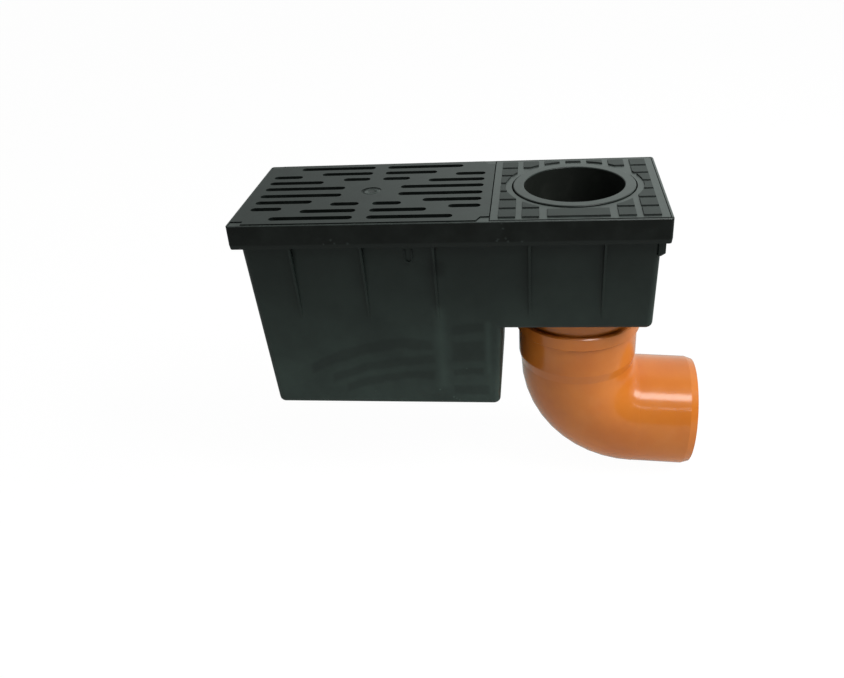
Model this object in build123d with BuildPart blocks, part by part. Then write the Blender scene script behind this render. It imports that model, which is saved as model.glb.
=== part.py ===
from build123d import *
import math
import os

os.makedirs("parts", exist_ok=True)

# A gully trap for a downpipe: the origin is on the downpipe's axis at the top of the inlet ring,
# X runs towards the outlet, Y to the back and Z up. Depths are measured down from the top of the rim.

# Rim
rim_length = 384.0
rim_side_room = 24.0
rim_height = 22.5
rim_wall = 2.0
rim_corner = 3.5
rim_band_height = 4.2
rim_band_draft = 9.0
rim_edge = 0.6
seat_depth = 15.0
seat_web = 3.0

# Downpipe inlet, measured from the right of the rim and from its middle
inlet_from_right = 78.5
inlet_behind_middle = 6.0
downpipe_bore = 91.0
ring_diameter = 111.2
ring_flange_height = 6.0
ring_height = 38.0
ring_wall = 5.2
ring_stop_width = 3.5
ring_stop_height = 3.0
ring_edge = 0.7

# Box under the rim: a sump at the left and a shallow outlet chamber at the right
wall = 3.0
wall_inset = 7.2
trough_corner = 6.5
trough_edge = 5.5
chamber_depth = 110.3
sump_depth = 196.0
step_from_right = 143.1
sump_end_draft = 2.9
outlet_end_draft = 1.4
side_draft = 2.3
step_draft = 2.8

# Ribs, lugs and posts of the box
rib_thickness = 2.2
rib_depth = 99.0
rib_pitch = 64.2
sump_rib_from_left = 54.0
sump_rib_count = 3
chamber_rib_from_right = 118.4
chamber_rib_count = 2
lug_out = 5.0
lug_height = 11.0
lug_width = 19.0
lug_spacing = 90.0
lug_chamfer = 4.0
post_length = 10.3
post_width = 8.5
end_post_length = 7.0
end_post_width = 10.3
end_post_chamfer = 4.0
mark_from_left = 159.6
mark_depth = 28.0
mark_length = 7.6
mark_height = 9.0
mark_rib = 1.3
mark_proud = 1.0

# Covers
joint_from_right = 152.2
joint_gap = 0.8
cover_gap = 0.7
cover_rib = 3.0
grate_proud = 0.8
grate_plate = 5.0
grate_rib_thickness = 2.6
grate_rib_depth = 12.0
slot_margin = 9.55
slot_pattern_offset = 0.95
slot_width = 8.0
slot_pitch = 16.4
side_slot_row = 9.2
side_slot_room = 26.8
side_slot_shortest = 28.8
middle_slot_row = 32.2
middle_slot_bar = 12.5
middle_slot_room = 22.95
middle_slot_shortest = 26.4
slot_rows = 3
cross_rib_from_centre = 22.0
centre_mark_radius = 9.5
centre_mark_depth = 0.6
cover_plate_height = 4.0
pad_height = 1.2
pad_length = 14.9
pad_width = 16.8
pad_pitch_x = 20.17
pad_pitch_y = 20.8
pad_count = 7
pad_draft = 12.0
pad_root = 1.0
least_pad_share = 0.12
pad_field_radius = 62.0
name_plate_length = 52.8
name_plate_width = 16.4
name_plate_columns = 3
ring_gap = 1.1
ring_shelf = 4.6
ring_shelf_height = 3.0
cover_boss_wall = 3.0
cover_boss_depth = 12.0

# Odour trap insert
trap_from_right = 180.0
trap_wall = 2.6
trap_gap = 0.5
trap_dip_depth = 150.0
chute_high_depth = 46.0
chute_low_depth = 80.0
chute_lip = 8.0
chute_side_height = 14.0
guide_depth = 4.0
guide_thickness = 3.0
guide_gap = 0.4
guide_top_depth = 87.0
guide_stop_height = 4.0
ledge_width = 5.0
ledge_height = 6.0

# Leaf basket
basket_flange = 2.0
basket_flange_gap = 0.8
basket_gap = 3.5
basket_wall = 2.0
basket_depth = 142.0
basket_corner = 6.0
basket_to_trap = 9.5
basket_spill_depth = 88.0
basket_slot_width = 3.2
basket_slot_top_depth = 34.0
basket_slot_bottom_depth = 126.0
basket_slot_pitch = 12.4
basket_slot_margin = 16.5
basket_floor_slot_margin = 10.5
basket_grip_width = 16.0
basket_grip_height = 4.0

# Outlet and elbow, for a 110 mm drain pipe
outlet_from_right = 72.5
pipe_diameter = 110.0
pipe_wall = 3.2
collar_height = 8.0
collar_wall = 2.6
outlet_seal_wall = 1.4
outlet_seal_height = 2.0
stub_flange_height = 3.0
stub_end_depth = 165.0
stub_chamfer = 2.0
mouth_depth = 126.0
mouth_round = 1.2
mouth_bore_gap = 1.6
mouth_collar_diameter = 120.0
mouth_collar_height = 13.6
mouth_collar_edge = 1.2
socket_diameter = 114.8
socket_end_depth = 168.6
socket_gap = 0.35
socket_shoulder_height = 9.6
elbow_arc_depth = 179.6
elbow_radius = 61.5
elbow_angle = 87.0
elbow_wall = 3.0
bend_proud = 0.25
spigot_length = 56.3
spigot_chamfer = 2.2
spigot_chamfer_length = 7.0
seal_groove_top = 3.0
seal_groove_height = 8.0
seal_groove_wall = 2.4
seal_gap = 0.3

overrun = 2.0
upright_share = 0.5

# Places worked out from the sizes
rim_width = pipe_diameter + 2 * rim_side_room
rim_top = -pad_height
rim_right = inlet_from_right
rim_left = rim_right - rim_length
mid_x = (rim_left + rim_right) / 2
mid_y = -inlet_behind_middle
joint_x = rim_right - joint_from_right
outlet_x = rim_right - outlet_from_right
trap_x = rim_right - trap_from_right
pipe_radius = pipe_diameter / 2
collar_bore = pipe_radius + outlet_seal_wall
collar_radius = collar_bore + collar_wall
side_plane = Plane.XZ.offset(-mid_y)
end_plane = Plane.YZ.offset(mid_x)
outlet_plane = Plane(origin=(outlet_x, mid_y, 0), x_dir=(1, 0, 0), z_dir=(0, -1, 0))
outlet_axis = Axis((outlet_x, mid_y, 0), (0, 0, 1))


def down(depth):
    return rim_top - depth


def lean(depth, start, draft):
    return (depth - start) * math.tan(math.radians(draft))


def sump_end(depth):
    return rim_left + wall_inset + lean(depth, seat_depth, sump_end_draft)


def outlet_end(depth):
    return rim_right - wall_inset - lean(depth, seat_depth, outlet_end_draft)


def step_face(depth):
    return rim_right - step_from_right - lean(depth, chamber_depth, step_draft)


def half_width(depth):
    return rim_width / 2 - wall_inset - lean(depth, seat_depth, side_draft)


# A block with drafted sides, whose left and right faces follow two of the functions above
def drafted_block(top, bottom, left, right, inset, corner, edge):
    with BuildPart() as block:
        with BuildSketch(side_plane):
            with BuildLine():
                Polyline(
                    (left(top) + inset, down(top)),
                    (left(bottom) + inset, down(bottom)),
                    (right(bottom) - inset, down(bottom)),
                    (right(top) - inset, down(top)),
                    close=True,
                )
            make_face()
        extrude(amount=rim_width / 2, both=True)
        with BuildSketch(end_plane):
            with BuildLine():
                Polyline(
                    (mid_y - half_width(top) + inset, down(top)),
                    (mid_y - half_width(bottom) + inset, down(bottom)),
                    (mid_y + half_width(bottom) - inset, down(bottom)),
                    (mid_y + half_width(top) - inset, down(top)),
                    close=True,
                )
            make_face()
        extrude(amount=rim_length, both=True, mode=Mode.INTERSECT)
        uprights = block.edges().filter_by(lambda e: abs(e.tangent_at(0.5).Z) > upright_share)
        fillet(uprights, radius=corner)
        fillet(block.faces().sort_by(Axis.Z)[0].edges(), radius=edge)
    return block.part


# The outlet chamber's block starts inside the sump's block, so the two fuse into one box
def chamber_start(depth):
    return step_face(chamber_depth) - chamber_depth / 2


chute_right = outlet_end(chute_high_depth) - wall - trap_gap
chute_slope = (chute_low_depth - chute_high_depth) / (chute_right - trap_x)
web_middle = seat_depth + seat_web / 2
above_seat = seat_depth - overrun
sump_outside = drafted_block(web_middle, sump_depth, sump_end, step_face, 0, trough_corner, trough_edge)
chamber_outside = drafted_block(
    web_middle, chamber_depth, chamber_start, outlet_end, 0, trough_corner, trough_edge
)
inner_corner = trough_corner - wall
inner_edge = trough_edge - wall
sump_inside = drafted_block(
    above_seat, sump_depth - wall, sump_end, step_face, wall, inner_corner, inner_edge
)
chamber_inside = drafted_block(
    above_seat, chamber_depth - wall, chamber_start, outlet_end, wall, inner_corner, inner_edge
)

# Outline of one corner post, grown by a gap for the notch in the grate: side is -1 at the front
# and 1 at the back, end is -1 at the left and 1 beside the cover
def post_outline(side, end, gap):
    lip = mid_y + side * (rim_width / 2 - rim_wall / 2)
    if end < 0:
        near = rim_left + rim_wall + cover_gap
        far = near + post_length + gap
        inner = mid_y + side * (rim_width / 2 - post_width - gap)
        points = [(near - gap, lip), (near - gap, inner), (far, inner), (far, lip)]
    else:
        near = joint_x - joint_gap / 2
        far = near - end_post_length - gap
        inner = mid_y + side * (rim_width / 2 - end_post_width - gap)
        points = [(near + gap, lip), (near + gap, inner), (far, inner), (far - end_post_chamfer, lip)]
    with BuildSketch(mode=Mode.PRIVATE) as outline:
        with BuildLine():
            Polyline(*points, close=True)
        make_face()
    add(outline.sketch)


# Box moulded in one piece: rim, sump, outlet chamber, ribs, guides and outlet collar
with BuildPart() as gully_body:
    with BuildSketch(Plane.XY.offset(rim_top)):
        with Locations((mid_x, mid_y)):
            RectangleRounded(rim_length, rim_width, rim_corner)
    extrude(amount=-(rim_height - rim_band_height))
    with BuildSketch(Plane.XY.offset(down(rim_height - rim_band_height))):
        with Locations((mid_x, mid_y)):
            RectangleRounded(rim_length, rim_width, rim_corner)
    extrude(amount=-rim_band_height, taper=rim_band_draft)
    chamfer(gully_body.faces().sort_by(Axis.Z)[-1].edges(), length=rim_edge)
    for level, height in ((0, -seat_depth), (rim_height, rim_height - seat_depth - seat_web)):
        with BuildSketch(Plane.XY.offset(down(level))):
            with Locations((mid_x, mid_y)):
                Rectangle(rim_length - 2 * rim_wall, rim_width - 2 * rim_wall)
        extrude(amount=height, mode=Mode.SUBTRACT)
    add(sump_outside)
    add(chamber_outside)

    # Long ribs down the front and back, tapering into the wall
    rib_places = [rim_left + sump_rib_from_left + rib_pitch * i for i in range(sump_rib_count)]
    rib_places += [rim_right - chamber_rib_from_right + rib_pitch * i for i in range(chamber_rib_count)]
    rib_top_depth = web_middle
    for place in rib_places:
        for side in (-1, 1):
            with BuildSketch(Plane.YZ.offset(place)):
                with BuildLine():
                    Polyline(
                        (mid_y + side * (half_width(rib_top_depth) - wall / 2), down(rib_top_depth)),
                        (mid_y + side * (rim_width / 2 - rim_wall / 2), down(rib_top_depth)),
                        (mid_y + side * half_width(rib_depth), down(rib_depth)),
                        (mid_y + side * (half_width(rib_depth) - wall / 2), down(rib_depth)),
                        close=True,
                    )
                make_face()
            extrude(amount=rib_thickness / 2, both=True)

    # Small moulded mark on the front, a rib bent into a U
    mark_bottom = mark_depth + mark_height
    mark_turn = mark_length / 2
    with BuildSketch(side_plane.offset(half_width(mark_depth) - wall / 2)):
        with Locations((rim_left + mark_from_left, down(mark_depth + mark_height / 2))):
            Rectangle(mark_length, mark_height)
        with Locations((rim_left + mark_from_left, down(mark_bottom))):
            Circle(mark_turn)
        with Locations((rim_left + mark_from_left, down(mark_depth + mark_height / 2))):
            Rectangle(mark_length - 2 * mark_rib, mark_height, mode=Mode.SUBTRACT)
        with Locations((rim_left + mark_from_left, down(mark_bottom))):
            Circle(mark_turn - mark_rib, mode=Mode.SUBTRACT)
    extrude(amount=wall / 2 + mark_proud)

    # Short lugs under the rim at both ends
    for face, side in ((sump_end, -1), (outlet_end, 1)):
        lug_bottom = rim_height + lug_height
        with BuildSketch(side_plane):
            with BuildLine():
                Polyline(
                    (face(web_middle) - side * wall / 2, down(web_middle)),
                    (face(web_middle) + side * lug_out, down(web_middle)),
                    (face(lug_bottom) + side * lug_out, down(lug_bottom - lug_chamfer)),
                    (face(lug_bottom) + side * (lug_out - lug_chamfer), down(lug_bottom)),
                    (face(lug_bottom) - side * wall / 2, down(lug_bottom)),
                    close=True,
                )
            make_face()
        lug = extrude(amount=lug_width / 2, both=True, mode=Mode.PRIVATE)
        with Locations((0, -lug_spacing / 2, 0), (0, lug_spacing / 2, 0)):
            add(lug)

    add(sump_inside, mode=Mode.SUBTRACT)
    add(chamber_inside, mode=Mode.SUBTRACT)

    # Corner posts that key the grate
    for side in (-1, 1):
        with BuildSketch(Plane.XY.offset(rim_top)):
            post_outline(side, -1, 0)
            post_outline(side, 1, 0)
        extrude(amount=-(seat_depth + seat_web / 2))

    # Guides for the dip wall, closed at the bottom by a stop, and the ledge under the chute
    guide_middle = trap_x + trap_wall / 2
    guide_reach = trap_wall / 2 + guide_gap + guide_thickness
    guide_bottom = trap_dip_depth + guide_stop_height
    for side in (-1, 1):
        with BuildSketch(Plane.YZ.offset(guide_middle - guide_reach)):
            with BuildLine():
                Polyline(
                    (mid_y + side * (half_width(guide_top_depth) - wall / 2), down(guide_top_depth)),
                    (
                        mid_y + side * (half_width(guide_top_depth) - wall - guide_depth),
                        down(guide_top_depth),
                    ),
                    (mid_y + side * (half_width(guide_bottom) - wall - guide_depth), down(guide_bottom)),
                    (mid_y + side * (half_width(guide_bottom) - wall / 2), down(guide_bottom)),
                    close=True,
                )
            make_face()
        extrude(amount=2 * guide_reach)
        with BuildSketch(Plane.YZ.offset(trap_x - guide_gap)):
            with BuildLine():
                Polyline(
                    (mid_y + side * (half_width(guide_top_depth) - wall), down(guide_top_depth)),
                    (mid_y, down(guide_top_depth)),
                    (mid_y, down(trap_dip_depth)),
                    (mid_y + side * (half_width(trap_dip_depth) - wall), down(trap_dip_depth)),
                    close=True,
                )
            make_face()
        extrude(amount=trap_wall + 2 * guide_gap, mode=Mode.SUBTRACT)
    ledge_top = chute_high_depth + trap_wall
    ledge_root = trap_gap + wall / 2
    ledge_bottom = ledge_top + ledge_height
    with BuildSketch(side_plane):
        with BuildLine():
            Polyline(
                (chute_right + ledge_root, down(ledge_top - chute_slope * ledge_root)),
                (chute_right - ledge_width, down(ledge_top + chute_slope * ledge_width)),
                (outlet_end(ledge_bottom) - wall, down(ledge_bottom)),
                (outlet_end(ledge_bottom) - wall / 2, down(ledge_bottom)),
                close=True,
            )
        make_face()
    extrude(amount=half_width(ledge_bottom) - trough_corner, both=True)

    # Outlet collar standing on the chamber's floor
    with BuildSketch(Plane.XY.offset(down(chamber_depth - wall / 2))):
        with Locations((outlet_x, mid_y)):
            Circle(collar_radius)
    extrude(amount=collar_height + wall / 2)
    with BuildSketch(Plane.XY.offset(down(chamber_depth + overrun))):
        with Locations((outlet_x, mid_y)):
            Circle(collar_bore)
    extrude(amount=collar_height + wall + 2 * overrun, mode=Mode.SUBTRACT)

gully_body.part.label = "gully_body"
export_step(gully_body.part, "parts/gully_body.step")

# Slotted grate over the sump
grate_left = rim_left + rim_wall + cover_gap
grate_right = joint_x - joint_gap / 2
grate_x = (grate_left + grate_right) / 2
grate_length = grate_right - grate_left
cover_width = rim_width - 2 * (rim_wall + cover_gap)
grate_top = rim_top + grate_proud
slot_x = grate_x + slot_pattern_offset
slot_span = grate_length - 2 * slot_margin
side_slot_length = slot_span / 2 - side_slot_room
middle_slot_length = (slot_span - middle_slot_bar) / 2 - middle_slot_room
side_slot_step = (side_slot_length - side_slot_shortest) / (slot_rows - 1)
middle_slot_step = (middle_slot_length - middle_slot_shortest) / (slot_rows - 1)
cut_height = rim_height

with BuildPart() as slotted_grate:
    with BuildSketch(Plane.XY.offset(grate_top)) as grate_outline:
        with Locations((grate_x, mid_y)):
            Rectangle(grate_length, cover_width)
        with BuildSketch(mode=Mode.PRIVATE) as notches:
            for side in (-1, 1):
                post_outline(side, -1, cover_gap)
                post_outline(side, 1, cover_gap)
        add(notches.sketch, mode=Mode.SUBTRACT)
    extrude(amount=-(grate_proud + seat_depth))
    with BuildSketch(Plane.XY.offset(grate_top - grate_plate)):
        add(grate_outline.sketch_local)
        offset(amount=-cover_rib, kind=Kind.INTERSECTION, mode=Mode.REPLACE)
    extrude(amount=-cut_height, mode=Mode.SUBTRACT)

    # Ribs under the bars between the slots
    first_bar = side_slot_row + slot_pitch / 2
    second_bar = first_bar + slot_pitch
    inner_bar = middle_slot_row + slot_pitch / 2
    outer_bar = inner_bar + slot_pitch
    long_bars = [0, -first_bar, first_bar, -second_bar, second_bar, -outer_bar, outer_bar]
    with BuildSketch(Plane.XY.offset(grate_top - grate_plate / 2)):
        with Locations([(grate_x, mid_y + place) for place in long_bars]):
            Rectangle(grate_length - cover_rib, grate_rib_thickness)
        with Locations([(slot_x, mid_y + place) for place in (-inner_bar, inner_bar)]):
            Rectangle(middle_slot_bar + 2 * middle_slot_shortest + middle_slot_step, grate_rib_thickness)
        with Locations((slot_x, mid_y)):
            Rectangle(grate_rib_thickness, cover_width - cover_rib)
    extrude(amount=-(grate_rib_depth - grate_plate / 2))

    # Slots, longer in the middle of each side group and at the outside of each middle group
    with BuildSketch(Plane.XY.offset(grate_top)):
        for row in range(slot_rows):
            side_length = side_slot_length - side_slot_step * row
            middle_length = middle_slot_shortest + middle_slot_step * row
            side_x = (slot_span - side_length) / 2
            middle_x = (middle_slot_bar + middle_length) / 2
            for side in (-1, 1):
                side_y = mid_y + side * (side_slot_row + slot_pitch * row)
                middle_y = mid_y + side * (middle_slot_row + slot_pitch * row)
                with Locations((slot_x - side_x, side_y), (slot_x + side_x, side_y)):
                    SlotOverall(side_length, slot_width)
                with Locations((slot_x - middle_x, middle_y), (slot_x + middle_x, middle_y)):
                    SlotOverall(middle_length, slot_width)
    extrude(amount=-cut_height, mode=Mode.SUBTRACT)

    # Cross ribs that pass under the short middle slots
    with BuildSketch(Plane.XY.offset(grate_top - grate_plate)):
        for side in (-1, 1):
            place = mid_y + side * (first_bar + inner_bar) / 2
            with Locations((slot_x - cross_rib_from_centre, place), (slot_x + cross_rib_from_centre, place)):
                Rectangle(grate_rib_thickness, inner_bar - first_bar)
    extrude(amount=-(grate_rib_depth - grate_plate))

    # Round dished mark in the middle
    with BuildSketch(Plane.XY.offset(grate_top)):
        with Locations((slot_x, mid_y)):
            Circle(centre_mark_radius)
    extrude(amount=-centre_mark_depth, mode=Mode.SUBTRACT)

slotted_grate.part.label = "slotted_grate"
export_step(slotted_grate.part, "parts/slotted_grate.step")

# Cover over the outlet chamber, with raised pads, a bare name plate and a seat for the ring
cover_left = joint_x + joint_gap / 2
cover_right = rim_right - rim_wall - cover_gap
cover_x = (cover_left + cover_right) / 2
cover_length = cover_right - cover_left
ring_seat_radius = ring_diameter / 2 + ring_gap
shelf_level = -ring_flange_height

with BuildPart() as cover_plate:
    with BuildSketch(Plane.XY.offset(rim_top)):
        with Locations((cover_x, mid_y)):
            Rectangle(cover_length, cover_width)
    extrude(amount=-seat_depth)
    with BuildSketch(Plane.XY.offset(rim_top - cover_plate_height)):
        with Locations((cover_x, mid_y)):
            Rectangle(cover_length - 2 * cover_rib, cover_width - 2 * cover_rib)
        Circle(ring_seat_radius + cover_boss_wall, mode=Mode.SUBTRACT)
    extrude(amount=-cut_height, mode=Mode.SUBTRACT)
    with BuildSketch(Plane.XY.offset(rim_top - cover_boss_depth)):
        with Locations((cover_x, mid_y)):
            Rectangle(cover_length - 2 * cover_rib, cover_width - 2 * cover_rib)
    extrude(amount=-cut_height, mode=Mode.SUBTRACT)

    # Pads, cut away round the ring and at the name plate
    root_spread = 2 * pad_root * math.tan(math.radians(pad_draft))
    with BuildSketch(Plane.XY.offset(rim_top - pad_root)) as pads:
        with Locations((cover_x, mid_y)):
            with GridLocations(pad_pitch_x, pad_pitch_y, pad_count, pad_count):
                Rectangle(pad_length + root_spread, pad_width + root_spread)
        name_plate_y = mid_y - pad_pitch_y * (pad_count - 1) / 2
        with Locations((cover_x, name_plate_y)):
            Rectangle(name_plate_columns * pad_pitch_x, pad_pitch_y, mode=Mode.SUBTRACT)
        Circle(pad_field_radius, mode=Mode.SUBTRACT)
        with Locations((cover_x, name_plate_y)):
            Rectangle(name_plate_length + root_spread, name_plate_width + root_spread)
    least_pad = least_pad_share * pad_length * pad_width
    pad_faces = [face for face in pads.sketch.faces() if face.area > least_pad]
    extrude(pad_faces, amount=pad_height + pad_root, taper=pad_draft)

    # Hole and shelf for the ring
    with BuildSketch(Plane.XY.offset(overrun)):
        Circle(ring_seat_radius)
    extrude(amount=shelf_level - overrun, mode=Mode.SUBTRACT)
    with BuildSketch(Plane.XY.offset(overrun)):
        Circle(ring_seat_radius - ring_shelf)
    extrude(amount=-cut_height, mode=Mode.SUBTRACT)
    with BuildSketch(Plane.XY.offset(shelf_level - ring_shelf_height)):
        Circle(ring_seat_radius)
    extrude(amount=-cut_height, mode=Mode.SUBTRACT)

cover_plate.part.label = "cover_plate"
export_step(cover_plate.part, "parts/cover_plate.step")

# Ring that takes the downpipe, its flange on the cover's shelf
with BuildPart() as inlet_ring:
    sleeve_bore = downpipe_bore / 2
    sleeve_radius = sleeve_bore + ring_wall
    with BuildSketch(Plane.XZ):
        with BuildLine():
            Polyline(
                (sleeve_bore, 0),
                (ring_diameter / 2, 0),
                (ring_diameter / 2, -ring_flange_height),
                (sleeve_radius, -ring_flange_height),
                (sleeve_radius, -ring_height),
                (sleeve_bore - ring_stop_width, -ring_height),
                (sleeve_bore - ring_stop_width, ring_stop_height - ring_height),
                (sleeve_bore, ring_stop_height - ring_height),
                close=True,
            )
        make_face()
    revolve(axis=Axis.Z)
    chamfer(inlet_ring.faces().sort_by(Axis.Z)[-1].edges(), length=ring_edge)

inlet_ring.part.label = "inlet_ring"
export_step(inlet_ring.part, "parts/inlet_ring.step")

# Trap insert in one piece: a chute from under the ring to the sump, and the dip wall under its end
chute_left = trap_x - chute_lip
lip_depth = chute_low_depth + chute_slope * chute_lip


def insert_half(depth):
    return half_width(depth) - wall - trap_gap


with BuildPart() as trap_insert:
    with BuildSketch(side_plane):
        with BuildLine():
            Polyline(
                (chute_left, down(lip_depth - chute_side_height)),
                (chute_left, down(lip_depth + trap_wall)),
                (chute_right, down(chute_high_depth + trap_wall)),
                (chute_right, down(chute_high_depth - chute_side_height)),
                close=True,
            )
        make_face()
    extrude(amount=rim_width / 2, both=True)
    top_depth = chute_high_depth - chute_side_height
    low_depth = lip_depth + trap_wall
    with BuildSketch(end_plane):
        with BuildLine():
            Polyline(
                (mid_y - insert_half(top_depth), down(top_depth)),
                (mid_y - insert_half(low_depth), down(low_depth)),
                (mid_y + insert_half(low_depth), down(low_depth)),
                (mid_y + insert_half(top_depth), down(top_depth)),
                close=True,
            )
        make_face()
    extrude(amount=rim_length, both=True, mode=Mode.INTERSECT)
    end_corners = trap_insert.edges().filter_by(lambda e: abs(e.tangent_at(0.5).Z) > upright_share)
    fillet(end_corners.sort_by(Axis.X)[-2:], radius=inner_corner)
    with BuildSketch(side_plane):
        with BuildLine():
            Polyline(
                (chute_left - overrun, down(lip_depth - chute_side_height - overrun)),
                (chute_left - overrun, down(lip_depth + chute_slope * overrun)),
                (chute_right - trap_wall, down(chute_high_depth + chute_slope * trap_wall)),
                (chute_right - trap_wall, down(chute_high_depth - chute_side_height - overrun)),
                close=True,
            )
        make_face()
    extrude(amount=insert_half(low_depth) - trap_wall, both=True, mode=Mode.SUBTRACT)
    with BuildSketch(Plane.YZ.offset(trap_x)):
        with BuildLine():
            Polyline(
                (mid_y - insert_half(chute_low_depth), down(chute_low_depth + trap_wall / 2)),
                (mid_y - insert_half(trap_dip_depth), down(trap_dip_depth)),
                (mid_y + insert_half(trap_dip_depth), down(trap_dip_depth)),
                (mid_y + insert_half(chute_low_depth), down(chute_low_depth + trap_wall / 2)),
                close=True,
            )
        make_face()
    extrude(amount=trap_wall)

trap_insert.part.label = "trap_insert"
export_step(trap_insert.part, "parts/trap_insert.step")


# Leaf basket hanging from the seat on three sides, its fourth side lower, under the chute's lip
def basket_end(depth):
    return trap_x - basket_to_trap + wall + basket_gap


basket_inset = wall + basket_gap
basket_inside_corner = basket_corner - basket_wall
basket_outside = drafted_block(
    above_seat, basket_depth, sump_end, basket_end, basket_inset, basket_corner, basket_corner
)
basket_inside = drafted_block(
    above_seat - basket_flange,
    basket_depth - basket_wall,
    sump_end,
    basket_end,
    basket_inset + basket_wall,
    basket_inside_corner,
    basket_inside_corner,
)
flange_left = rim_left + rim_wall + cover_gap + cover_rib + basket_flange_gap
basket_right = trap_x - basket_to_trap
basket_width = rim_width - 2 * (rim_wall + cover_gap + cover_rib + basket_flange_gap)
basket_left = sump_end(seat_depth) + basket_inset
basket_x = (basket_left + basket_right) / 2
basket_floor_width = 2 * (half_width(basket_depth) - basket_inset)


def slot_count(room, margin):
    return int((room - 2 * margin) // basket_slot_pitch) + 1


side_slot_count = slot_count(basket_right - basket_left, basket_slot_margin)
end_slot_count = slot_count(basket_floor_width, basket_slot_margin)
floor_slot_count = slot_count(basket_floor_width, basket_floor_slot_margin)

with BuildPart() as leaf_basket:
    add(basket_outside)
    with BuildSketch(Plane.XY.offset(down(seat_depth))):
        with Locations((mid_x, mid_y)):
            Rectangle(2 * rim_length, 2 * rim_width)
    extrude(amount=rim_height, mode=Mode.SUBTRACT)
    with BuildSketch(Plane.XY.offset(down(seat_depth))):
        with Locations(((flange_left + basket_right) / 2, mid_y)):
            Rectangle(basket_right - flange_left, basket_width)
        with BuildSketch(mode=Mode.PRIVATE) as corners:
            post_outline(-1, -1, cover_gap + cover_rib + basket_flange_gap)
            post_outline(1, -1, cover_gap + cover_rib + basket_flange_gap)
        add(corners.sketch, mode=Mode.SUBTRACT)
    extrude(amount=basket_flange)
    add(basket_inside, mode=Mode.SUBTRACT)

    # The lower side under the chute
    with BuildSketch(Plane.YZ.offset(basket_right - basket_corner)):
        with BuildLine():
            Polyline(
                (mid_y - half_width(basket_spill_depth) + basket_inset + basket_corner, down(basket_spill_depth)),
                (mid_y + half_width(basket_spill_depth) - basket_inset - basket_corner, down(basket_spill_depth)),
                (mid_y + half_width(seat_depth) - basket_inset - basket_corner, down(above_seat - basket_flange)),
                (mid_y - half_width(seat_depth) + basket_inset + basket_corner, down(above_seat - basket_flange)),
                close=True,
            )
        make_face()
    extrude(amount=2 * basket_corner, mode=Mode.SUBTRACT)

    # Grip across the top
    with BuildSketch(Plane.XY.offset(down(seat_depth - basket_flange))):
        with Locations((basket_x, mid_y)):
            Rectangle(basket_grip_width, 2 * (half_width(seat_depth) - basket_inset - basket_wall / 2))
    extrude(amount=-basket_grip_height)

    # Slots in the walls and the floor
    slot_height = basket_slot_bottom_depth - basket_slot_top_depth
    slot_middle = down((basket_slot_top_depth + basket_slot_bottom_depth) / 2)
    with BuildSketch(side_plane):
        with Locations((basket_x, slot_middle)):
            with GridLocations(basket_slot_pitch, slot_height, side_slot_count, 1):
                Rectangle(basket_slot_width, slot_height)
    extrude(amount=rim_width, both=True, mode=Mode.SUBTRACT)
    end_slot_height = basket_slot_bottom_depth - basket_spill_depth - basket_grip_height
    with BuildSketch(end_plane):
        with Locations((mid_y, down(basket_slot_bottom_depth - end_slot_height / 2))):
            with GridLocations(basket_slot_pitch, slot_height, end_slot_count, 1):
                Rectangle(basket_slot_width, end_slot_height)
    extrude(amount=rim_length, both=True, mode=Mode.SUBTRACT)
    with BuildSketch(Plane.XY.offset(down(basket_depth))):
        with Locations((basket_x, mid_y)):
            with GridLocations(rim_length, basket_slot_pitch, 1, floor_slot_count):
                Rectangle(side_slot_count * basket_slot_pitch, basket_slot_width)
    extrude(amount=basket_wall, both=True, mode=Mode.SUBTRACT)

leaf_basket.part.label = "leaf_basket"
export_step(leaf_basket.part, "parts/leaf_basket.step")

# Outlet stub, hanging by its flange in the collar
collar_top = chamber_depth - wall - collar_height
seal_top = collar_top - outlet_seal_height
stub_top = seal_top - stub_flange_height

with BuildPart() as outlet_stub:
    with BuildSketch(outlet_plane):
        with BuildLine():
            Polyline(
                (pipe_radius - pipe_wall, down(stub_top)),
                (collar_radius, down(stub_top)),
                (collar_radius, down(seal_top)),
                (pipe_radius, down(seal_top)),
                (pipe_radius, down(stub_end_depth - stub_chamfer)),
                (pipe_radius - stub_chamfer, down(stub_end_depth)),
                (pipe_radius - pipe_wall, down(stub_end_depth)),
                close=True,
            )
        make_face()
    revolve(axis=outlet_axis)

outlet_stub.part.label = "outlet_stub"
export_step(outlet_stub.part, "parts/outlet_stub.step")

# Rubber seal between the stub and the collar
with BuildPart() as outlet_seal:
    with BuildSketch(outlet_plane):
        with BuildLine():
            Polyline(
                (pipe_radius, down(seal_top)),
                (collar_radius, down(seal_top)),
                (collar_radius, down(collar_top)),
                (collar_bore, down(collar_top)),
                (collar_bore, down(chamber_depth)),
                (pipe_radius, down(chamber_depth)),
                close=True,
            )
        make_face()
    revolve(axis=outlet_axis)

outlet_seal.part.label = "outlet_seal"
export_step(outlet_seal.part, "parts/outlet_seal.step")

# Elbow: a socket that turns on the stub, a bend, and a spigot for the drain
socket_bore = pipe_radius + socket_gap
socket_radius = socket_diameter / 2
passage = pipe_radius - elbow_wall
bend_radius = pipe_radius + bend_proud
groove_radius = mouth_collar_diameter / 2 - seal_groove_wall
groove_top_depth = mouth_depth + seal_groove_top
groove_bottom_depth = groove_top_depth + seal_groove_height
collar_bottom = mouth_depth + mouth_collar_height
bend_centre = (outlet_x + elbow_radius, mid_y, down(elbow_arc_depth))
bend_axis = Axis(bend_centre, (0, -1, 0))
bend_end = math.radians(elbow_angle)
spigot_plane = Plane(
    origin=(
        outlet_x + elbow_radius * (1 - math.cos(bend_end)),
        mid_y,
        down(elbow_arc_depth + elbow_radius * math.sin(bend_end)),
    ),
    x_dir=(0, 1, 0),
    z_dir=(math.sin(bend_end), 0, -math.cos(bend_end)),
)

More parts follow.
